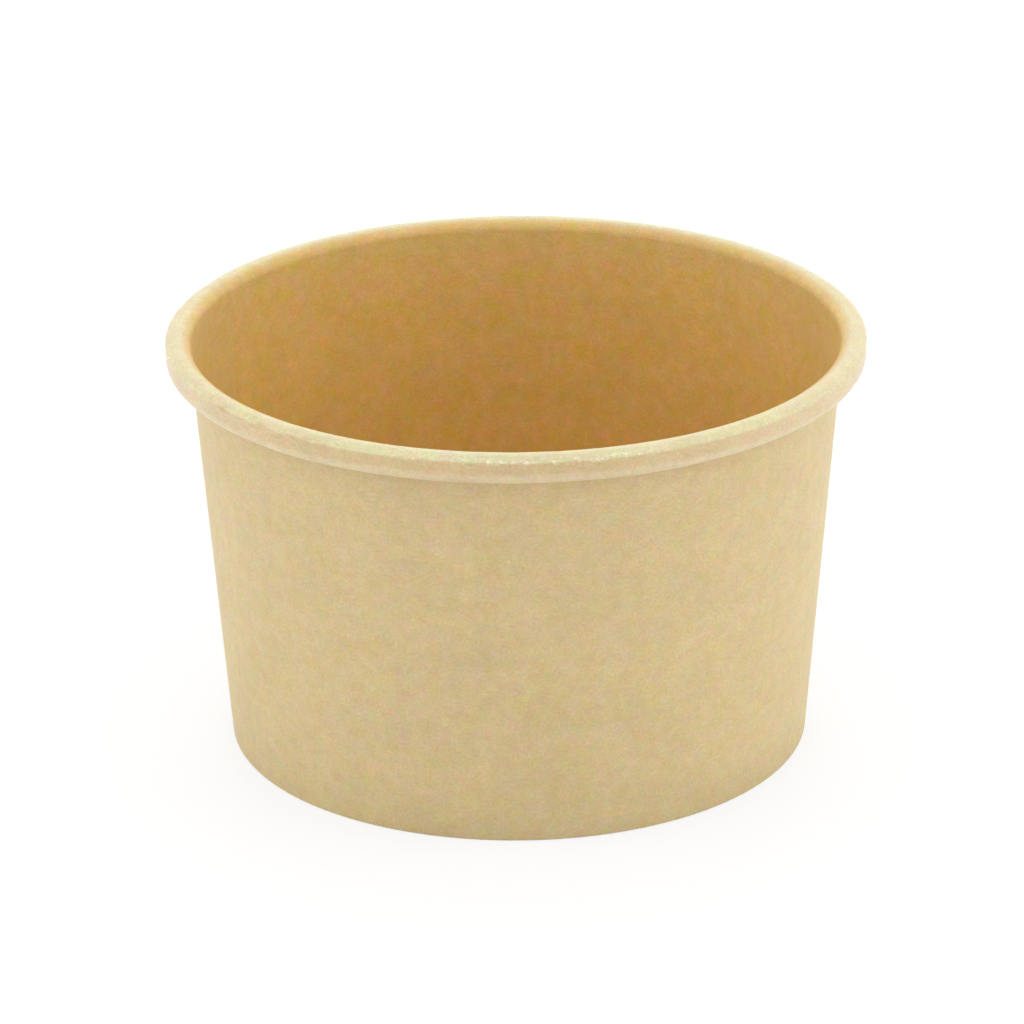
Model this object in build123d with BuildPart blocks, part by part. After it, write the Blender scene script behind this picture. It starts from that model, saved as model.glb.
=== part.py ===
from build123d import *

import os
from math import acos, asin, atan2, cos, degrees, hypot, radians, sin, tan

# Round paper ice cream tub with no lid, in millimetres, standing on its foot at z = 0, +Z up.
# It is made from two blanks of kraft board. The side wall is a fan-shaped blank wrapped into a
# cone: its ends lap and are sealed, its top edge is rolled outwards into a bead, and its bottom
# edge is folded in and up as a hem. The base is a round blank with its edge turned down, and that
# skirt is held between the wall and the hem, so the base sits recessed above the foot.

# Overall sizes
rim_diameter = 97.0
base_diameter = 81.2
height = 59.2
wall_board = 0.4
base_board = 0.4

# Rolled rim: a bend at the mouth, a crown that slopes down to a crease, and an upright face. The
# bend's size is its radius inside the innermost layer, where the board is lapped, and the crown's
# width is from the middle of that bend to the face.
mouth_bend = 0.5
crown_width = 1.84
crease_drop = 0.74
roll_face = 1.8
tuck_gap = 0.1

# Foot: the hem, the recessed base and the sealed gaps between the boards
base_recess = 6.5
base_bend = 0.5
foot_bend = 0.1
seal_gap = 0.05
hem_gap = 0.1

# Side seam: where the inner end of the blank lies, how far the outer end laps over it, and the
# width over which the board steps out to pass behind the inner end
seam_angle = 156.0
lap_width = 7.0
step_width = 2.4

# Every bend is a run of equal flats, which keeps the faces few
mouth_flats = 3
crown_flats = 1
lower_flats = 5
tuck_flats = 1
fold_flats = 1

rim_radius = rim_diameter / 2
base_radius = base_diameter / 2
lapped_board = 2 * wall_board

# The bead is drawn on the mouth's own surface, which is the outside of the roll
mouth_radius = mouth_bend + lapped_board + tuck_gap + wall_board
tuck_radius = mouth_radius - wall_board - tuck_gap
mouth_centre = Vector(rim_radius - crown_width, height - mouth_radius)

# Past the top the bend goes on until the board points straight at the crease
crease = Vector(rim_radius, height - crease_drop)
to_crease = crease - mouth_centre
crown_up = atan2(to_crease.Y, to_crease.X) + acos(mouth_radius / to_crease.length)
crown_turn = degrees(crown_up) - 90
crease_diagonal = Vector(1, tan(crown_up / 2))

# The wall leans out so that its outer face runs from the base circle to touch the mouth bend
across = mouth_centre.X - base_radius
lean = atan2(across, mouth_centre.Y) - asin((mouth_radius - wall_board) / hypot(across, mouth_centre.Y))
lean_degrees = degrees(lean)
outward = Vector(cos(lean), -sin(lean))

# The tucked end follows the first flats of the mouth bend, so the two lie parallel
tuck_turn = (lean_degrees - 90) * tuck_flats / mouth_flats

# The roll closes under the rim with one bend, from its outer face to the tucked end by the wall
face_foot = crease.Y - roll_face
roll_room = (rim_radius - base_radius) * cos(lean) - face_foot * sin(lean) - tuck_gap
lower_radius = roll_room / (1 + cos(lean))
lower_centre = Vector(rim_radius - lower_radius, face_foot)

# Foot heights: the skirt stands clear of the lapped fold, and the hem ends under the base's bend
hem_channel = base_board + 2 * seal_gap
skirt_foot = foot_bend + lapped_board + seal_gap
hem_top = base_recess - base_bend - hem_gap

mean_radius = (rim_radius + base_radius) / 2
lap_angle = degrees(lap_width / mean_radius)
step_angle = degrees(step_width / mean_radius)


def radial_plane(angle):
    """The upright plane through the axis at this angle from +X: x is the radius and y the height."""
    turn = radians(angle)
    return Plane(origin=(0, 0, 0), x_dir=(cos(turn), sin(turn), 0), z_dir=(sin(turn), -cos(turn), 0))


def wall_point(depth, level):
    """The point at this level, depth outside the wall's inner surface, or inside it if negative."""
    return Vector(base_radius + (depth - wall_board) / cos(lean) + level * tan(lean), level)


def bend(centre, radius, start, sweep, flats):
    """A bend about this centre, from the start angle, as flats whose corners lie on its arc."""
    turns = [radians(start + sweep * corner / flats) for corner in range(flats + 1)]
    return Polyline([centre + Vector(cos(turn), sin(turn)) * radius for turn in turns])


def trace_face(depth, layers):
    """Draw one face of the wall board, from the hem's edge round the foot and up over the roll.

    depth is counted through the board from the tub's inner surface, and layers is how many boards
    lie in the fold, which lifts its bends so that the foot always stands at z = 0.
    """
    fold_level = foot_bend + layers * wall_board
    hem_fold = wall_point(foot_bend - hem_channel, fold_level)
    wall_fold = wall_point(-foot_bend, fold_level)
    hem_end = wall_point(-hem_channel, hem_top) - outward * depth
    upright = 180 - lean_degrees
    hem_bend = bend(hem_fold, foot_bend + depth, upright, 90 + lean_degrees, fold_flats)
    wall_bend = bend(wall_fold, foot_bend + depth, -90, 90 - lean_degrees, fold_flats)
    mouth = bend(mouth_centre, mouth_radius - depth, upright, lean_degrees - 90, mouth_flats)
    crown = bend(mouth_centre, mouth_radius - depth, 90, crown_turn, crown_flats)
    creased = crease - crease_diagonal * depth
    lower = bend(lower_centre, lower_radius - depth, 0, -180 - lean_degrees, lower_flats)
    tuck = bend(mouth_centre, tuck_radius - depth, upright, tuck_turn, tuck_flats)
    Line(hem_end, hem_bend @ 0)
    Line(hem_bend @ 1, wall_bend @ 0)
    Line(wall_bend @ 1, mouth @ 0)
    Line(crown @ 1, creased)
    Line(creased, lower @ 0)
    Line(lower @ 1, tuck @ 0)
    return hem_end, tuck @ 1


def board_section(angle, depth, layers):
    """The section of a board whose near face lies at this depth, on the plane at this angle."""
    with BuildSketch(radial_plane(angle)) as section:
        with BuildLine():
            hem_edge, tuck_edge = trace_face(depth, layers)
            far_hem_edge, far_tuck_edge = trace_face(depth + wall_board, layers)
            Line(hem_edge, far_hem_edge)
            Line(tuck_edge, far_tuck_edge)
        make_face()
    return section.sketch


# Side wall: one board nearly all the way round, two boards in the lap, and the step between them
with BuildPart() as side_wall:
    single = board_section(seam_angle + lap_angle, 0, 1)
    revolve(single, axis=Axis.Z, revolution_arc=360 - lap_angle - step_angle)
    for depth in (0, wall_board):
        lapped = board_section(seam_angle, depth, 2)
        revolve(lapped, axis=Axis.Z, revolution_arc=lap_angle)
    step_start = board_section(seam_angle - step_angle, 0, 1)
    step_end = board_section(seam_angle, wall_board, 2)
    loft([step_start, step_end], ruled=True)
side_wall.part.label = "side_wall"

# Base: a flat disc whose edge is bent down into a skirt that lies along the leaning wall
with BuildPart() as base_disc:
    with BuildSketch(Plane.XZ):
        with BuildLine():
            bend_centre = wall_point(-seal_gap - base_board - base_bend, base_recess - base_bend)
            skirt_edge = wall_point(-seal_gap, skirt_foot)
            skirt_turn = 90 + lean_degrees
            outer_bend = bend(bend_centre, base_bend + base_board, -lean_degrees, skirt_turn, fold_flats)
            inner_bend = bend(bend_centre, base_bend, -lean_degrees, skirt_turn, fold_flats)
            inner_edge = skirt_edge - outward * base_board
            Line(skirt_edge, outer_bend @ 0)
            Line(inner_edge, inner_bend @ 0)
            Line(skirt_edge, inner_edge)
            Polyline(outer_bend @ 1, (0, base_recess + base_board), (0, base_recess), inner_bend @ 1)
        make_face()
    revolve(axis=Axis.Z)
base_disc.part.label = "base_disc"

os.makedirs("parts", exist_ok=True)
export_step(side_wall.part, "parts/side_wall.step")
export_step(base_disc.part, "parts/base_disc.step")
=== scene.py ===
from math import acos, asin, atan2, cos, degrees, hypot, pi, radians, sin, tan

import bpy
import numpy as np
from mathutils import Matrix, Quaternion, Vector, noise


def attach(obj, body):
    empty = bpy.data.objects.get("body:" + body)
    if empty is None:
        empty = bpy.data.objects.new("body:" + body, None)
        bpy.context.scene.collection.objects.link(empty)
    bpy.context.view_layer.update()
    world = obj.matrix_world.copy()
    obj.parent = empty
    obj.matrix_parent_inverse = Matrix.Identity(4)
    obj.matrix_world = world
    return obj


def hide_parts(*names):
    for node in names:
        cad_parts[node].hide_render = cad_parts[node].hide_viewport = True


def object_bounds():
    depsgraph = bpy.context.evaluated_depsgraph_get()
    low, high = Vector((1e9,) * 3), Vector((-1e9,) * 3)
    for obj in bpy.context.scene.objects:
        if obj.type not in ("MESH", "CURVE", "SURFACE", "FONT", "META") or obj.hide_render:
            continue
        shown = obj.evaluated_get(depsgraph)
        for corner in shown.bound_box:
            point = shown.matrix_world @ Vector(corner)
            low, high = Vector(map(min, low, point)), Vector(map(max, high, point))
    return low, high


# A round paper ice cream tub of kraft board, in metres, standing on its foot at z = 0, +Z up.
# The CAD solids have their bends as runs of flats. Here the same two blanks of board are drawn
# again with round bends, a wavy roll, a wandering crease and a pressed hem, and they replace both
# solids.

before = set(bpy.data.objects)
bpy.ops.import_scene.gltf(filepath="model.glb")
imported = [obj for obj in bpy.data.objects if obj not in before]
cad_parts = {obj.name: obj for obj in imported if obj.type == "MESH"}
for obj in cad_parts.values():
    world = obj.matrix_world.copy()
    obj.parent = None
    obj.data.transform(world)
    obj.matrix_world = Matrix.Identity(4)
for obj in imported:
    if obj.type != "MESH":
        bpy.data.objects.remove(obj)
cad_low, cad_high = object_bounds()

# Sizes that the frame gives
RIM_RADIUS = cad_high.x
HEIGHT = cad_high.z

# Sizes of the two boards and their bends, the same as in the solids
BASE_RADIUS = 0.0406
BOARD = 0.0004
MOUTH_BEND = 0.0005
CROWN_WIDTH = 0.00184
CREASE_DROP = 0.00074
ROLL_FACE = 0.0018
TUCK_GAP = 0.0001
BASE_RECESS = 0.0065
BASE_BEND = 0.0005
FOOT_BEND = 0.0001
SEAL_GAP = 0.00005
HEM_GAP = 0.0001

# Side seam: angles in degrees round the tub, and widths along the board
SEAM_ANGLE = 156.0
LAP_WIDTH = 0.007
STEP_WIDTH = 0.0024
LAP_GLUE = 0.00001

# The press that seals the seam thins the board's inner end to this share, which grows over half the
# lap. The foot's fold comes down from two boards to one over this angle past the lap.
SEAM_PRESS = 0.4
FOLD_FADE = 2.0

# The crease's own small radius, how far the mouth's bend is pressed in and the crown bulges out, and
# how hollow the roll's face is
CREASE_BEND = 0.0002
MOUTH_PRESS = 0.0001
MOUTH_PRESS_WIDTH = 0.0006
CROWN_BULGE = 0.00008
FACE_HOLLOW = 0.00003

# The tucked end follows this share of the mouth's bend
TUCK_SHARE = 0.5

# Ripples in the boards: how far each one reaches, its size along the board, and its seed
DENTS = (0.00005, 0.0026, 3.0)
FINE_DENTS = (0.00003, 0.0013, 7.0)
WALL_WAVE = (0.00004, 0.018, 11.0)
LIP_WAVE = (0.00012, 0.011, 19.0)
FINE_LIP_WAVE = (0.00005, 0.004, 23.0)
BASE_WAVE = (0.00008, 0.02, 31.0)
CREASE_WANDER = (0.00007, 0.0035, 41.0)
FINE_CREASE_WANDER = (0.00006, 0.0012, 43.0)

# The wall's wave is drawn out up the wall, where lengths count this much, and it grows over this
# length from the hem's edge. The crease's wander fades over this length on both sides of it, and the
# base's wave over this one at the base's edge.
WAVE_ALONG = 0.6
WAVE_GROWTH = 0.02
WANDER_WIDTH = 0.00045
BASE_FADE = 0.006

# Press marks on the hem, from the tool that closes the foot: how deep they are, and how many
PRESS_MARK_DEPTH = 0.00004
PRESS_MARKS = 110

# Steps in each stretch of the wall's section, and in the base's plate, bend, skirt and turn
WALL_STEPS = {
    "hem": 3,
    "fold": 4,
    "wall": 12,
    "mouth": 12,
    "crown": 5,
    "crease": 5,
    "face": 8,
    "lower": 13,
    "tuck": 3,
}
ROLL = ("mouth", "crown", "crease", "face", "lower", "tuck")
PLATE_STEPS = 24
BEND_STEPS = 6
SKIRT_STEPS = 5
BASE_TURNS = 240

# Edges with a sharper angle than this, in degrees, look sharp
SHARP_ANGLE = 50

# Numbers of the three finishes in a mesh, and the shares that its points carry
COATED, OUTER, CUT = 0, 1, 2
SHARES = ("rolled", "crown", "lip_light", "chipped", "scuffed")

# The roll's paler colour, painted reflection, and the crown's painted highlight set in between
# these shares of the mouth's bend
ROLL_COLOUR = (1 / 4, 3 / 4)
CROWN_HIGHLIGHT_SPAN = (5 / 12, 3 / 4)

# The crown bulges from this share of the mouth's bend on. Its painted highlight ends between these
# lengths past the crease, and loses this share at the sides.
CROWN_START = 5 / 6
CROWN_HIGHLIGHT_FADE = (-0.0001, 0.0003)
CROWN_HIGHLIGHT_SIDE_LOSS = 0.3

# Under the mouth the wall takes on this share of the roll's paler colour as painted light near the
# opening, which grows over this length of the wall and up to this share of the mouth's bend
NEAR_MOUTH = 0.13
NEAR_MOUTH_LENGTH = 0.012
NEAR_MOUTH_END = 1 / 6

# The lip's painted light, bounced up from the table, sets in between these heights below the
# crease, in heights of the roll's face
LIP_LIGHT_SPAN = (0.75, 1.15)

# Chips lie in a band above the crease, and scuffs in a wider one on it. Both lie on some stretches
# round the rim, which a ripple of this size picks where it rises past these levels, and this share of
# the chips lies elsewhere.
STRETCH_SIZE = 0.024
STRETCH_EDGE = (0.1, 0.3)
CHIP_SEED = 243.54
CHIP_RISE = 0.0002
CHIP_WIDTH = 0.0004
CHIP_ELSEWHERE = 0.15
SCUFF_SEED = 751.59
SCUFF_WIDTH = 0.0009

# Colours of the boards
OUTSIDE = (0.583, 0.460, 0.238)
INSIDE = (0.620, 0.420, 0.130)
# The roll's colour is the coated side's made paler: painted reflection of the white surroundings
ROLL_PAINTED_REFLECTION = (0.600, 0.450, 0.235)
# The crown's colour is a painted highlight from the light above
CROWN_HIGHLIGHT = (0.625, 0.570, 0.345)
# The lip's colour is painted light bounced up from the table, and painted reflection at the sides
LIP_LIGHT = (0.635, 0.515, 0.320)
CUT_EDGE = (0.62, 0.50, 0.29)
DARK_FLECK = (0.30, 0.19, 0.08)
PALE_FLECK = (0.86, 0.80, 0.64)
SCUFF = (0.50, 0.29, 0.09)

# How each colour changes where the hue drifts to pink and to grey, and how far it drifts on the roll
HUE_DRIFTS = ((0.8, -1.0, 0.0), (0.05, 0.0, 1.0))
ROLL_DRIFT = (0.34, 0.55)

# Noises in the boards: how many ripples a millimetre has, the detail, and the detail's strength
BLOTCH = (0.11, 3.0, 0.55)
MOTTLE = (0.5, 4.0, 0.6)
GRAIN = (2.6, 3.0, 0.55)
FIBRES = (1.0, 2.0, 0.5)
SWIRL = (0.2, 1.0, 0.55)
DRIFT = (0.38, 3.0, 0.85)
CHIPS = (1.3, 3.0, 0.55)
STREAKS = (1.0, 4.0, 0.6)

# How much darker and lighter each noise makes the board between these levels of the noise
NOISE_LEVELS = (0.3, 0.7)
BLOTCH_LIGHT = 0.035
MOTTLE_LIGHT = 0.06
GRAIN_LIGHT = 0.08
FIBRE_LIGHT = 0.05

# Fibres bend with the swirl by this many millimetres, and fibres and scuffs are drawn out round the tub
SWIRL_REACH = 7.0
FIBRE_SHAPE = (0.5, 5.0, 5.0)
STREAK_SHAPE = (0.45, 1.1, 1.1)

# Flecks: cells a millimetre, a fleck's radius in a cell, the share of cells that have one, and how
# strongly it shows
DARK_FLECKS = (0.32, 0.055, 0.5)
PALE_FLECKS = (0.41, 0.05, 0.4)
FLECK_STRENGTH = 0.35

# Chips and scuffs show between these levels of their noise, and so strongly
CHIP_LEVELS = (0.51, 0.65)
CHIP_STRENGTH = 0.7
SCUFF_LEVELS = (0.46, 0.66)
SCUFF_STRENGTH = 0.6

# Sheen, and the light that passes through the board: how much, and how far in each colour, in boards
SHEEN = 0.05
SHEEN_ROUGHNESS = 0.5
THROUGH = 0.45
THROUGH_REACH = (1.6, 0.8, 0.25)

# The bump's height, and the grain's share in it
BUMP_HEIGHT = 0.00005
GRAIN_BUMP = 0.5

# Stage: how far the table runs, how pale it is, how much plain white the camera sees in it, and how
# strongly the tent lights the tub
TABLE_REACH = 3.0
TABLE_COLOUR = (0.9, 0.9, 0.9, 1.0)
WHITE = (1.0, 1.0, 1.0, 1.0)
TABLE_WHITENING = 0.75
TENT_LEVEL = 0.86

# Camera, as the photograph was taken, fitted to the tub's outline
CAMERA_TARGET = Vector((0, 0, 0.030))
CAMERA_ELEVATION = radians(22.39)
CAMERA_DISTANCE = 0.7895
CAMERA_ROLL = radians(-0.52)
AIM_RIGHT = 0.00076
AIM_UP = 0.00158
SENSOR_WIDTH = 36.0
FOCAL_LENGTH = 197.7
CLIP_START = 0.01

MEAN_RADIUS = (RIM_RADIUS + BASE_RADIUS) / 2

# Angles where the lap ends and the fold is one board again, where the step out begins and ends, and
# where the board ends
LAP_ANGLE = degrees(LAP_WIDTH / MEAN_RADIUS)
STEP_ANGLE = degrees(STEP_WIDTH / MEAN_RADIUS)
LAP_END = SEAM_ANGLE + LAP_ANGLE
FADE_END = LAP_END + FOLD_FADE
STEP_END = SEAM_ANGLE + 360
STEP_START = STEP_END - STEP_ANGLE
BOARD_END = STEP_END + LAP_ANGLE

# The bead's drawing, on the tub's inner surface, which is the outside of the roll
MOUTH_RADIUS = MOUTH_BEND + 3 * BOARD + TUCK_GAP
TUCK_RADIUS = MOUTH_RADIUS - BOARD - TUCK_GAP
MOUTH_CENTRE = (RIM_RADIUS - CROWN_WIDTH, HEIGHT - MOUTH_RADIUS)
ACROSS = MOUTH_CENTRE[0] - BASE_RADIUS
LEAN = atan2(ACROSS, MOUTH_CENTRE[1]) - asin((MOUTH_RADIUS - BOARD) / hypot(ACROSS, MOUTH_CENTRE[1]))
LEAN_DEGREES = degrees(LEAN)
OUTWARD = np.array((cos(LEAN), -sin(LEAN)))
CREASE = (RIM_RADIUS, HEIGHT - CREASE_DROP)
TO_CREASE = (CREASE[0] - MOUTH_CENTRE[0], CREASE[1] - MOUTH_CENTRE[1])
CROWN_UP = atan2(TO_CREASE[1], TO_CREASE[0]) + acos(MOUTH_RADIUS / hypot(*TO_CREASE))
CREASE_DIAGONAL = np.array((1, tan(CROWN_UP / 2)))
FACE_FOOT = CREASE[1] - ROLL_FACE
ROLL_ROOM = (RIM_RADIUS - BASE_RADIUS) * cos(LEAN) - FACE_FOOT * sin(LEAN) - TUCK_GAP
LOWER_RADIUS = ROLL_ROOM / (1 + cos(LEAN))
LOWER_CENTRE = (RIM_RADIUS - LOWER_RADIUS, FACE_FOOT)
HEM_CHANNEL = BOARD + 2 * SEAL_GAP
SKIRT_FOOT = FOOT_BEND + 2 * BOARD + SEAL_GAP
HEM_TOP = BASE_RECESS - BASE_BEND - HEM_GAP


# Curves

def smooth_step(value, low, high):
    """0 up to low, 1 from high on, and a smooth rise between them."""
    share = np.clip((np.asarray(value, float) - low) / (high - low), 0, 1)
    return share * share * (3 - 2 * share)


def bell(value, middle, width):
    return np.exp(-((value - middle) / width) ** 2)


def ripple(around, along, reach, size, seed):
    """Smooth noise over the board, from -reach to reach, for a wrinkle of this size in metres."""
    shape = np.broadcast(around, along).shape
    a = np.broadcast_to(around, shape).ravel() / size
    b = np.broadcast_to(along, shape).ravel() / size
    return reach * np.array([noise.noise((p, q, seed)) for p, q in zip(a, b)]).reshape(shape)


# Sections, as rows of (radius, height)

def arc(centre, radius, start, sweep, steps):
    """Points on an arc, from the start angle, in degrees."""
    turns = np.radians(start + sweep * np.linspace(0, 1, steps + 1))
    return np.column_stack((centre[0] + radius * np.cos(turns), centre[1] + radius * np.sin(turns)))


def straight(start, end, steps):
    """Points between start and end, without the two ends."""
    shares = np.linspace(0, 1, steps + 1)[1:-1, None]
    return np.asarray(start) * (1 - shares) + np.asarray(end) * shares


def path_length(points):
    """How far each point lies from the first one, along them all."""
    return np.concatenate(([0], np.cumsum(np.hypot(*np.diff(points, axis=0).T))))


def wall_point(depth, level):
    """The point at this level, depth outside the wall's inner surface."""
    return np.array((BASE_RADIUS + (depth - BOARD) / cos(LEAN) + level * tan(LEAN), level))


def wall_face(depth, fold_level):
    """One face of the wall board, from the hem's edge round the foot and up over the roll.

    Returns its points and, for each, the name of the stretch that it lies on.
    """
    steps = WALL_STEPS
    upright = 180 - LEAN_DEGREES
    crown_up = degrees(CROWN_UP)
    hem_end = wall_point(-HEM_CHANNEL, HEM_TOP) - depth * OUTWARD
    hem_fold = wall_point(FOOT_BEND - HEM_CHANNEL, fold_level)
    wall_fold = wall_point(-FOOT_BEND, fold_level)
    creased = np.array(CREASE) - (depth + CREASE_BEND) * CREASE_DIAGONAL
    tuck_turn = (LEAN_DEGREES - 90) * TUCK_SHARE
    hem_bend = arc(hem_fold, FOOT_BEND + depth, upright, 90 + LEAN_DEGREES, steps["fold"])
    foot_bend = arc(wall_fold, FOOT_BEND + depth, -90, 90 - LEAN_DEGREES, steps["fold"])
    mouth = arc(MOUTH_CENTRE, MOUTH_RADIUS - depth, upright, crown_up - upright, steps["mouth"])
    crease = arc(creased, CREASE_BEND, crown_up, -crown_up, steps["crease"])
    lower = arc(LOWER_CENTRE, LOWER_RADIUS - depth, 0, -180 - LEAN_DEGREES, steps["lower"])
    tuck = arc(MOUTH_CENTRE, TUCK_RADIUS - depth, upright, tuck_turn, steps["tuck"])
    stretches = (
        ("hem", np.array([hem_end])),
        ("hem", straight(hem_end, hem_bend[0], steps["hem"])),
        ("fold", hem_bend),
        ("fold", foot_bend),
        ("wall", straight(foot_bend[-1], mouth[0], steps["wall"])),
        ("mouth", mouth),
        ("crown", straight(mouth[-1], crease[0], steps["crown"])),
        ("crease", crease),
        ("face", straight(crease[-1], lower[0], steps["face"])),
        ("lower", lower),
        ("tuck", tuck),
    )
    names = np.array([name for name, points in stretches for _ in points])
    return np.vstack([points for _, points in stretches]), names


class WallSection:
    """The wall board's section: the points of its inner face, and where each one lies.

    The section is straight in its depth and in its fold level. across says how a point moves for
    its depth, and raised for one more board in the fold, and these give every other section.
    """

    def __init__(self):
        fold_level = FOOT_BEND + BOARD
        self.inner, self.names = wall_face(0, fold_level)
        outer, _ = wall_face(BOARD, fold_level)
        lifted, _ = wall_face(0, fold_level + BOARD)
        self.across = (outer - self.inner) / BOARD
        self.raised = lifted - self.inner
        self.on_roll = np.isin(self.names, ROLL)
        self.length = path_length(self.inner)
        self.crease = self.length[self.names == "crease"].mean()
        self.past_crease = self.length > self.crease
        self.below_crease = (CREASE[1] - self.inner[:, 1]) / ROLL_FACE
        self.down_face = self.past_crease * np.clip(self.below_crease, 0, 1)

    def at_mouth(self, share):
        """The length along the board at this share of the mouth's bend."""
        mouth = self.length[self.names == "mouth"]
        return mouth[0] + share * (mouth[-1] - mouth[0])


def base_section():
    """The base's section, from the middle out over its top, round the skirt's edge and back under it.

    Returns its points and how far each lies from the middle of the flat blank.
    """
    centre = wall_point(-SEAL_GAP - BOARD - BASE_BEND, BASE_RECESS - BASE_BEND)
    skirt_edge = wall_point(-SEAL_GAP, SKIRT_FOOT)
    sides = []
    for depth in (0, BOARD):
        bend = arc(centre, BASE_BEND + BOARD - depth, 90, -90 - LEAN_DEGREES, BEND_STEPS)
        edge = skirt_edge - depth * OUTWARD
        plate = straight((0.0, bend[0][1]), bend[0], PLATE_STEPS)
        skirt = straight(bend[-1], edge, SKIRT_STEPS)
        sides.append(np.vstack((plate, bend, skirt, [edge])))
    top, under = sides
    length = top[0][0] + path_length(top)
    return np.vstack((top, under[::-1])), np.concatenate((length, length[::-1]))


# Meshes

def add_mesh(name, points, faces, finishes, materials, board, shares):
    """A new object with these points and faces, each face with the number of its material.

    board is each point's place on the flat blank. shares gives each point a number for each name:
    how far it lies on the roll, on its crown or its lip, where painted light goes, and among the
    chips or the scuffs.
    """
    mesh = bpy.data.meshes.new(name)
    mesh.from_pydata([tuple(p) for p in points], [], faces)
    for material in materials:
        mesh.materials.append(material)
    mesh.polygons.foreach_set("material_index", finishes)
    layer = mesh.attributes.new("board", "FLOAT_VECTOR", "POINT")
    layer.data.foreach_set("vector", np.asarray(board, np.float32).ravel())
    for share, values in shares.items():
        layer = mesh.attributes.new(share, "FLOAT", "POINT")
        layer.data.foreach_set("value", np.asarray(values, np.float32).ravel())
    mesh.shade_smooth()
    mesh.set_sharp_from_angle(angle=radians(SHARP_ANGLE))
    mesh.update()
    piece = bpy.data.objects.new(name, mesh)
    bpy.context.scene.collection.objects.link(piece)
    return piece


# Side wall: one strip of board from its inner end round to its outer end

def wall_stations():
    """Angles along the board from its inner end to its outer end, in degrees.

    Each span has its first angle, its last one and the number of its steps.
    """
    spans = (
        (SEAM_ANGLE, LAP_END, 18),
        (LAP_END, FADE_END, 6),
        (FADE_END, STEP_START, 610),
        (STEP_START, STEP_END, 12),
        (STEP_END, BOARD_END, 18),
    )
    angles = [np.linspace(low, high, count + 1)[:-1] for low, high, count in spans]
    return np.append(np.concatenate(angles), BOARD_END)


def pressed(angles):
    """The share of the board's thickness that is left at these angles from the board's inner end."""
    return SEAM_PRESS + (1 - SEAM_PRESS) * smooth_step(angles, 0, LAP_ANGLE / 2)


def lap_layout(angles):
    """For each station: the board's thickness, its depth in the wall, and the boards in the fold."""
    own = pressed(angles - SEAM_ANGLE)
    under = pressed(angles - STEP_END)
    stepped = smooth_step(angles, STEP_START, STEP_END)
    lapped = 1 - smooth_step(angles, LAP_END, FADE_END)
    depth = stepped * (BOARD * under + LAP_GLUE)
    return BOARD * own, depth, 1 + lapped * own + stepped * under


def pushed_in(section, angles, around):
    """How far each point is pushed in: dents, the wall's wave, the roll's own form and press marks."""
    length = section.length
    dents = np.maximum(ripple(around, length, *DENTS), 0)
    fine_dents = np.maximum(ripple(around, length, *FINE_DENTS), 0)
    wave = ripple(around, length * WAVE_ALONG, *WALL_WAVE) * np.clip(length / WAVE_GROWTH, 0, 1)
    push = np.where(section.on_roll, dents + fine_dents, wave)

    # The mouth's bend is pressed in, the crown bulges, and the face below the crease is hollow
    crown_start = section.at_mouth(CROWN_START)
    down_crown = np.clip((length - crown_start) / (section.crease - crown_start), 0, 1)
    push = push + MOUTH_PRESS * bell(length, section.at_mouth(0.5), MOUTH_PRESS_WIDTH)
    push = push - CROWN_BULGE * np.sin(pi * down_crown) + FACE_HOLLOW * np.sin(pi * section.down_face)

    marks = PRESS_MARK_DEPTH * np.cos(np.radians(angles) * PRESS_MARKS)[:, None]
    return push + marks * (section.names == "hem")


def lifted_up(section, around):
    """How far each point lies higher, where the crease wanders and the roll's lower edge is uneven."""
    wander = ripple(around, 0, *CREASE_WANDER) + ripple(around, 0, *FINE_CREASE_WANDER)
    lip_wave = ripple(around, 0, *LIP_WAVE) + ripple(around, 0, *FINE_LIP_WAVE)
    by_crease = section.on_roll * bell(section.length, section.crease, WANDER_WIDTH)
    by_lip = section.down_face * np.isin(section.names, ("face", "lower"))
    return wander * by_crease + lip_wave * by_lip


def wall_points(section, angles, around):
    """The wall's points: for each station, up its inner face and back down its outer face."""
    thickness, depth, layers = lap_layout(angles)
    push = pushed_in(section, angles, around)
    lift = lifted_up(section, around)
    raised = section.raised * (layers - 1)[:, None, None]
    sides = []
    for side in (0, 1):
        at = (depth + side * thickness)[:, None] + push
        flat = section.inner + section.across * at[..., None] + raised
        flat[..., 1] += lift
        sides.append(flat)
    loop = np.concatenate((sides[0], sides[1][:, ::-1]), axis=1)
    turn = np.radians(angles)[:, None]
    radius, height = loop[..., 0], np.maximum(loop[..., 1], 0)
    return np.stack((radius * np.cos(turn), radius * np.sin(turn), height), axis=-1)


def wall_faces(stations, count):
    """Faces along the strip, which has this many points at each station, and over its two cut ends."""
    half = count // 2
    faces, finishes = [], []
    for i in range(stations - 1):
        for j in range(count):
            k = (j + 1) % count
            faces.append((i * count + j, i * count + k, (i + 1) * count + k, (i + 1) * count + j))
            finishes.append(COATED if j < half - 1 else OUTER if half <= j < count - 1 else CUT)
    for i, order in ((0, 1), (stations - 1, -1)):
        for j in range(half - 1):
            corners = (j, count - 1 - j, count - 2 - j, j + 1)[::order]
            faces.append(tuple(i * count + c for c in corners))
            finishes.append(CUT)
    return faces, finishes


def worn_stretches(around, seed):
    """1 on some stretches round the rim and 0 on the others."""
    return smooth_step(ripple(around, 0, 1.0, STRETCH_SIZE, seed), *STRETCH_EDGE)


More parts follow.
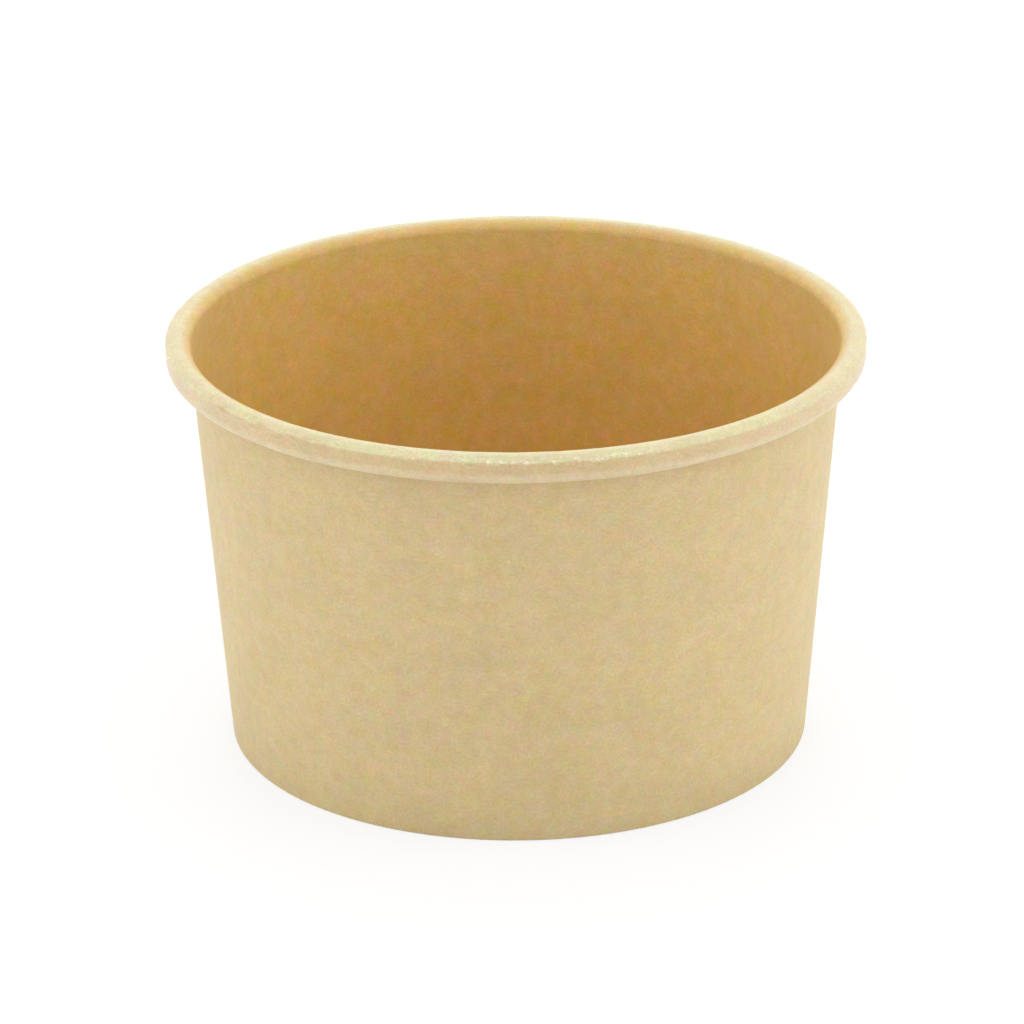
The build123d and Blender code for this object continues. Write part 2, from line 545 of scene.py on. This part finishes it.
def wall_shares(section, angles, around):
    """The shares of each point of the inner face, by name."""
    length = section.length
    sideways = np.cos(np.radians(angles)[:, None]) ** 2

    near_mouth = (section.at_mouth(0) - NEAR_MOUTH_LENGTH, section.at_mouth(NEAR_MOUTH_END))
    # The roll's paler colour is painted reflection
    rolled = smooth_step(length, *map(section.at_mouth, ROLL_COLOUR))
    # The wall under the mouth takes some of it as painted light
    rolled = np.maximum(rolled, NEAR_MOUTH * smooth_step(length, *near_mouth))

    # The crown's painted highlight is strongest at the front. At the sides the face is painted as pale
    # as the lip, standing in for the coating's reflection there.
    past_crown = smooth_step(length - section.crease, *CROWN_HIGHLIGHT_FADE)
    crown = smooth_step(length, *map(section.at_mouth, CROWN_HIGHLIGHT_SPAN)) * (1 - past_crown)
    crown = crown * (1 - CROWN_HIGHLIGHT_SIDE_LOSS * sideways)
    # The lip's share paints light on the roll's lower edge, and reflection on the whole face at the sides
    lip_light = section.past_crease * np.maximum(smooth_step(section.below_crease, *LIP_LIGHT_SPAN), sideways)

    chipped = CHIP_ELSEWHERE + (1 - CHIP_ELSEWHERE) * worn_stretches(around, CHIP_SEED)
    chipped = chipped * bell(length, section.crease - CHIP_RISE, CHIP_WIDTH)
    scuffed = worn_stretches(around, SCUFF_SEED) * bell(length, section.crease, SCUFF_WIDTH)
    return dict(zip(SHARES, (rolled, crown, lip_light, chipped, scuffed)))


def make_side_wall(materials):
    section = WallSection()
    angles = wall_stations()
    around = np.radians(angles)[:, None] * MEAN_RADIUS
    points = wall_points(section, angles, around)
    stations, count = points.shape[:2]
    faces, finishes = wall_faces(stations, count)

    # Both faces of the board have the same shares, and the last number of a place tells them apart
    board = np.empty((stations, count, 3))
    board[..., 0] = around
    board[..., 1] = np.concatenate((section.length, section.length[::-1]))
    board[..., 2] = np.repeat((0.0, 1.0), count // 2)
    shares = {}
    for name, values in wall_shares(section, angles, around).items():
        both = np.concatenate((values, values[..., ::-1]), axis=-1)
        shares[name] = np.broadcast_to(both, (stations, count))
    return add_mesh(
        "side_wall_board", points.reshape(-1, 3), faces, finishes, materials, board.reshape(-1, 3), shares)


# Base: a round blank with its edge bent down into a skirt

def base_faces(turns, count):
    """Faces round the base, which has this many points at each turn, and round its two middle points."""
    half = count // 2
    top_middle = turns * count
    under_middle = top_middle + 1
    faces, finishes = [], []
    for i in range(turns):
        n = (i + 1) % turns
        for j in range(count - 1):
            faces.append((i * count + j, i * count + j + 1, n * count + j + 1, n * count + j))
            finishes.append(COATED if j < half - 1 else OUTER if j >= half else CUT)
    for i in range(turns):
        n = (i + 1) % turns
        faces.append((top_middle, i * count, n * count))
        finishes.append(COATED)
        faces.append((under_middle, n * count + count - 1, i * count + count - 1))
        finishes.append(OUTER)
    return faces, finishes


def make_base_disc(materials):
    profile, length = base_section()
    radius, level = profile.T
    bend_radius = wall_point(-SEAL_GAP - BOARD - BASE_BEND, BASE_RECESS - BASE_BEND)[0]
    angle = np.linspace(0, 2 * pi, BASE_TURNS, endpoint=False)[:, None]
    flat_x = length * np.cos(angle)
    flat_y = length * np.sin(angle)

    # The plate is a little wavy, and its edge isn't
    on_plate = (level > BASE_RECESS - HEM_GAP) * np.clip((bend_radius - radius) / BASE_FADE, 0, 1)
    height = level + ripple(flat_x, flat_y, *BASE_WAVE) * on_plate
    points = np.stack((radius * np.cos(angle), radius * np.sin(angle), height), axis=-1)
    middles = [(0, 0, BASE_RECESS + BOARD), (0, 0, BASE_RECESS)]
    points = np.vstack((points.reshape(-1, 3), middles))

    side = np.broadcast_to(np.repeat((0.0, 1.0), len(profile) // 2), flat_x.shape)
    board = np.stack((flat_x, flat_y, side), axis=-1)
    board = np.vstack((board.reshape(-1, 3), [(0, 0, 0), (0, 0, 1)]))
    shares = {name: np.zeros(len(board)) for name in SHARES}
    faces, finishes = base_faces(BASE_TURNS, len(profile))
    return add_mesh("base_disc_board", points, faces, finishes, materials, board, shares)


# Shader nodes

def node(tree, kind, values=(), **settings):
    """A new shader node with these input values, each a number or the socket that feeds it."""
    made = tree.nodes.new(kind)
    for name, value in settings.items():
        setattr(made, name, value)
    for name, value in dict(values).items():
        feed(tree, made.inputs[name], value)
    return made


def feed(tree, socket, value):
    """Link the value to the socket if it is one itself, and otherwise set it there."""
    if isinstance(value, bpy.types.NodeSocket):
        tree.links.new(value, socket)
    else:
        socket.default_value = value


def mapped(tree, value, low, high, start=0.0, end=1.0):
    """The value's stretch from low to high, turned into start to end."""
    values = {"Value": value, "From Min": low, "From Max": high, "To Min": start, "To Max": end}
    return node(tree, "ShaderNodeMapRange", values).outputs["Result"]


def maths(tree, operation, a, b):
    return node(tree, "ShaderNodeMath", {0: a, 1: b}, operation=operation).outputs[0]


def multiplied(tree, first, *others):
    for other in others:
        first = maths(tree, "MULTIPLY", first, other)
    return first


def vector(tree, operation, a, b):
    return node(tree, "ShaderNodeVectorMath", {0: a, 1: b}, operation=operation).outputs[0]


def scaled(tree, a, scale):
    return node(tree, "ShaderNodeVectorMath", {0: a, "Scale": scale}, operation="SCALE").outputs[0]


def mixed(tree, share, a, b):
    """Colour a where share is 0 and b where it is 1."""
    made = node(tree, "ShaderNodeMix", {"Factor": share}, data_type="RGBA")
    sockets = [s for s in made.inputs if s.type == "RGBA"]
    for socket, value in zip(sockets, (a, b)):
        feed(tree, socket, value if isinstance(value, bpy.types.NodeSocket) else (*value, 1.0))
    return [s for s in made.outputs if s.type == "RGBA"][0]


def split(tree, colour):
    return node(tree, "ShaderNodeSeparateColor", {"Color": colour}).outputs


def share_of(tree, name):
    return node(tree, "ShaderNodeAttribute", attribute_name=name).outputs["Fac"]


def cloud(tree, at, scale, detail, rough):
    values = {"Vector": at, "Scale": scale, "Detail": detail, "Roughness": rough}
    return node(tree, "ShaderNodeTexNoise", values)


def speckle(tree, at, kind):
    return cloud(tree, at, *kind).outputs["Fac"]


def dots(tree, at, scale, radius, shown):
    """Small round flecks, in this share of the cells of a pattern."""
    cells = node(tree, "ShaderNodeTexVoronoi", {"Vector": at, "Scale": scale})
    near = mapped(tree, cells.outputs["Distance"], radius, 0.5 * radius)
    picked = split(tree, cells.outputs["Color"])[0]
    return multiplied(tree, near, maths(tree, "LESS_THAN", picked, shown))


# Kraft board

def uneven_light(tree, in_mm, mottle, grain):
    """How light the board is at each point, around 1."""
    swirl = scaled(tree, cloud(tree, in_mm, *SWIRL).outputs["Color"], SWIRL_REACH)
    swirled = vector(tree, "MULTIPLY", vector(tree, "ADD", in_mm, swirl), FIBRE_SHAPE)
    patterns = (
        (speckle(tree, in_mm, BLOTCH), BLOTCH_LIGHT),
        (mottle, MOTTLE_LIGHT),
        (grain, GRAIN_LIGHT),
        (speckle(tree, swirled, FIBRES), FIBRE_LIGHT),
    )
    lights = [mapped(tree, pattern, *NOISE_LEVELS, 1 - by, 1 + by) for pattern, by in patterns]
    return multiplied(tree, *lights)


def drifted(tree, in_mm, toned, drift):
    """The colour with its hue drifting to and fro, as far as drift says on the flat board."""
    drifts = split(tree, cloud(tree, in_mm, *DRIFT).outputs["Color"])
    for output, tint, flat, on_roll in zip(drifts, HUE_DRIFTS, drift, ROLL_DRIFT):
        amount = mapped(tree, share_of(tree, "rolled"), 0.0, 1.0, flat, on_roll)
        change = scaled(tree, tint, multiplied(tree, maths(tree, "SUBTRACT", output, 0.5), amount))
        toned = vector(tree, "MULTIPLY", toned, vector(tree, "ADD", change, (1, 1, 1)))
    return toned


def flecked(tree, in_mm, toned):
    """The colour with small dark and pale flecks all over."""
    for flecks, colour in ((DARK_FLECKS, DARK_FLECK), (PALE_FLECKS, PALE_FLECK)):
        toned = mixed(tree, multiplied(tree, dots(tree, in_mm, *flecks), FLECK_STRENGTH), toned, colour)
    return toned


def worn(tree, in_mm, toned):
    """The colour with pale chips and brown scuffs along the crease."""
    drawn_out = vector(tree, "MULTIPLY", in_mm, STREAK_SHAPE)
    chips = mapped(tree, speckle(tree, in_mm, CHIPS), *CHIP_LEVELS)
    scuffs = mapped(tree, speckle(tree, drawn_out, STREAKS), *SCUFF_LEVELS)
    chips = multiplied(tree, chips, share_of(tree, "chipped"), CHIP_STRENGTH)
    scuffs = multiplied(tree, scuffs, share_of(tree, "scuffed"), SCUFF_STRENGTH)
    return mixed(tree, scuffs, mixed(tree, chips, toned, PALE_FLECK), SCUFF)


def kraft(name, colours, drift, roughness, bump):
    """Kraft board: mottled, with fine grain, fibres and flecks.

    colours are that of the flat board and, on the side that shows on the roll, those of the roll, its
    crown and its lip. The roll's paler colour is painted reflection, the crown's a painted highlight
    and the lip's painted light bounced up from the table. That side has the chips and scuffs. drift
    is how far the flat board's hue drifts between pink and green, and between yellow and grey.
    """
    material = bpy.data.materials.new(name)
    material.use_nodes = True
    tree = material.node_tree
    place = node(tree, "ShaderNodeAttribute", attribute_name="board").outputs["Vector"]
    in_mm = scaled(tree, place, 1000.0)
    mottle = speckle(tree, in_mm, MOTTLE)
    grain = speckle(tree, in_mm, GRAIN)

    toned = colours[0]
    for part, colour in zip(("rolled", "crown", "lip_light"), colours[1:]):
        toned = mixed(tree, share_of(tree, part), toned, colour)
    toned = scaled(tree, toned, uneven_light(tree, in_mm, mottle, grain))
    toned = flecked(tree, in_mm, drifted(tree, in_mm, toned, drift))
    if len(colours) > 1:
        toned = worn(tree, in_mm, toned)
    height = maths(tree, "ADD", mottle, multiplied(tree, grain, GRAIN_BUMP))
    bumped = node(tree, "ShaderNodeBump", {"Strength": bump, "Distance": BUMP_HEIGHT, "Height": height})

    values = {
        "Base Color": toned,
        "Roughness": roughness,
        "Sheen Weight": SHEEN,
        "Sheen Roughness": SHEEN_ROUGHNESS,
        "Subsurface Weight": THROUGH,
        "Subsurface Scale": BOARD,
        "Subsurface Radius": THROUGH_REACH,
        "Normal": bumped.outputs["Normal"],
    }
    for socket, value in values.items():
        feed(tree, tree.nodes["Principled BSDF"].inputs[socket], value)
    return material


# Stage: a white table that runs out of sight, under a white tent

def make_table():
    """A white table that runs out of sight. The camera sees it near white, with a faint shadow."""
    reach = TABLE_REACH
    mesh = bpy.data.meshes.new("table")
    corners = [(-reach, -reach, 0), (reach, -reach, 0), (reach, reach, 0), (-reach, reach, 0)]
    mesh.from_pydata(corners, [], [(0, 1, 2, 3)])
    material = bpy.data.materials.new("table_white")
    material.use_nodes = True
    tree = material.node_tree
    tree.nodes.remove(tree.nodes["Principled BSDF"])
    matt = node(tree, "ShaderNodeBsdfDiffuse", {"Color": TABLE_COLOUR})
    white = node(tree, "ShaderNodeEmission", {"Color": WHITE, "Strength": 1.0})
    path = node(tree, "ShaderNodeLightPath")
    share = multiplied(tree, path.outputs["Is Camera Ray"], TABLE_WHITENING)
    seen = node(tree, "ShaderNodeMixShader", {0: share, 1: matt.outputs[0], 2: white.outputs[0]})
    tree.links.new(seen.outputs[0], tree.nodes["Material Output"].inputs["Surface"])
    mesh.materials.append(material)
    table = bpy.data.objects.new("table", mesh)
    bpy.context.scene.collection.objects.link(table)


def make_world():
    """A white tent: the camera and glossy rays see it white, and it lights the tub at its own level."""
    world = bpy.data.worlds.new("tent")
    bpy.context.scene.world = world
    world.use_nodes = True
    tree = world.node_tree
    background = tree.nodes["Background"]
    background.inputs["Color"].default_value = WHITE
    path = node(tree, "ShaderNodeLightPath")
    strength = mapped(tree, path.outputs["Is Diffuse Ray"], 0.0, 1.0, 1.0, TENT_LEVEL)
    tree.links.new(strength, background.inputs["Strength"])


def add_lamp(name, place, size, power):
    """A round soft lamp that faces the middle of the tub and doesn't show in the coating."""
    lamp = bpy.data.lights.new(name, "AREA")
    lamp.shape = "DISK"
    lamp.size = size
    lamp.energy = power
    holder = bpy.data.objects.new(name, lamp)
    holder.location = place
    holder.rotation_mode = "QUATERNION"
    middle = Vector((0, 0, HEIGHT / 2))
    holder.rotation_quaternion = (middle - Vector(place)).to_track_quat("-Z", "Y")
    holder.visible_glossy = False
    bpy.context.scene.collection.objects.link(holder)


def make_camera():
    camera = bpy.data.cameras.new("camera")
    camera.sensor_width = SENSOR_WIDTH
    camera.lens = FOCAL_LENGTH
    camera.clip_start = CLIP_START
    holder = bpy.data.objects.new("camera", camera)
    back = Vector((0, -cos(CAMERA_ELEVATION), sin(CAMERA_ELEVATION)))
    right = Vector((1, 0, 0))
    up = back.cross(right)
    holder.location = CAMERA_TARGET + back * CAMERA_DISTANCE
    aim = CAMERA_TARGET - right * AIM_RIGHT + up * AIM_UP
    holder.rotation_mode = "QUATERNION"
    facing = (aim - holder.location).to_track_quat("-Z", "Y")
    holder.rotation_quaternion = facing @ Quaternion((0, 0, 1), CAMERA_ROLL)
    bpy.context.scene.collection.objects.link(holder)
    bpy.context.scene.camera = holder


outside = kraft("kraft_outside", [OUTSIDE], drift=(0.34, 0.95), roughness=0.6, bump=0.3)
coated = kraft("kraft_coated", [INSIDE, ROLL_PAINTED_REFLECTION, CROWN_HIGHLIGHT, LIP_LIGHT], drift=(0.44, 2.2), roughness=0.4, bump=0.2)
cut_edge = kraft("kraft_cut_edge", [CUT_EDGE], drift=(0.4, 0.6), roughness=0.9, bump=0.5)

side_wall = make_side_wall([coated, outside, cut_edge])
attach(side_wall, "root")
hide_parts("side_wall")

base_disc = make_base_disc([coated, outside, cut_edge])
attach(base_disc, "root")
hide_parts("base_disc")

make_table()
make_world()
add_lamp("overhead", place=(0.0, 0.0, 0.9), size=0.8, power=2.0)
add_lamp("left", place=(-0.8, -0.1, 0.4), size=0.7, power=1.35)
add_lamp("right", place=(0.8, -0.1, 0.4), size=0.7, power=1.85)
add_lamp("behind", place=(0.0, 0.9, 0.5), size=0.8, power=3.4)
add_lamp("front", place=(0.0, -0.9, 1.0), size=0.8, power=0.45)
make_camera()
bpy.context.scene.view_settings.view_transform = "Standard"

bpy.context.view_layer.update()
